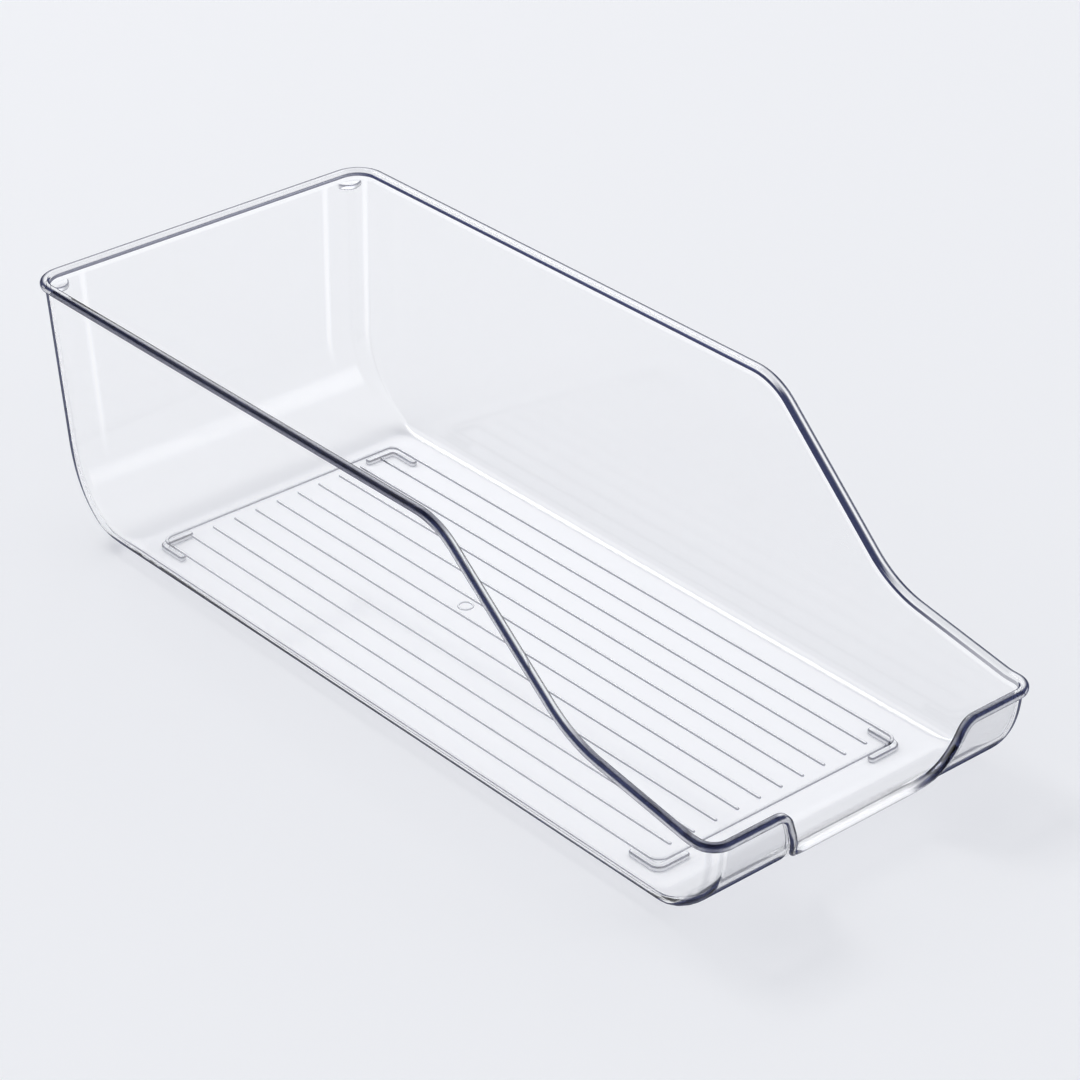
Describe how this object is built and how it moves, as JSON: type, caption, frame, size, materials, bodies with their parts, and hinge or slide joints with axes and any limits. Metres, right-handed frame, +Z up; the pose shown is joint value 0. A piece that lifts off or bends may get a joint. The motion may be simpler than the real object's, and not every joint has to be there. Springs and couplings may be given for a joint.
{
  "type": "fridge organizer bin",
  "caption": "Clear plastic fridge bin with a deep rear part, sides that sweep down to a low front lip with a finger notch, a rounded rim, a ribbed floor and small corner feet.",
  "frame": {"origin": "on the surface that the bin stands on, under the middle of its length and width", "axes": "+Z up, +Y along the length towards the deep rear end, so that the low lip with the finger notch faces -Y, +X across the width"},
  "size_m": [0.15, 0.35, 0.1],
  "materials": {
    "tub_plastic": "clear, polished, colourless with a slight cool tint",
    "foot_plastic": "clear, slightly hazy"
  },
  "bodies": {
    "root": {"bin_tub": "tub_plastic", "foot_rear_right": "foot_plastic", "foot_rear_left": "foot_plastic", "foot_front_left": "foot_plastic", "foot_front_right": "foot_plastic"}
  },
  "joints": []
}
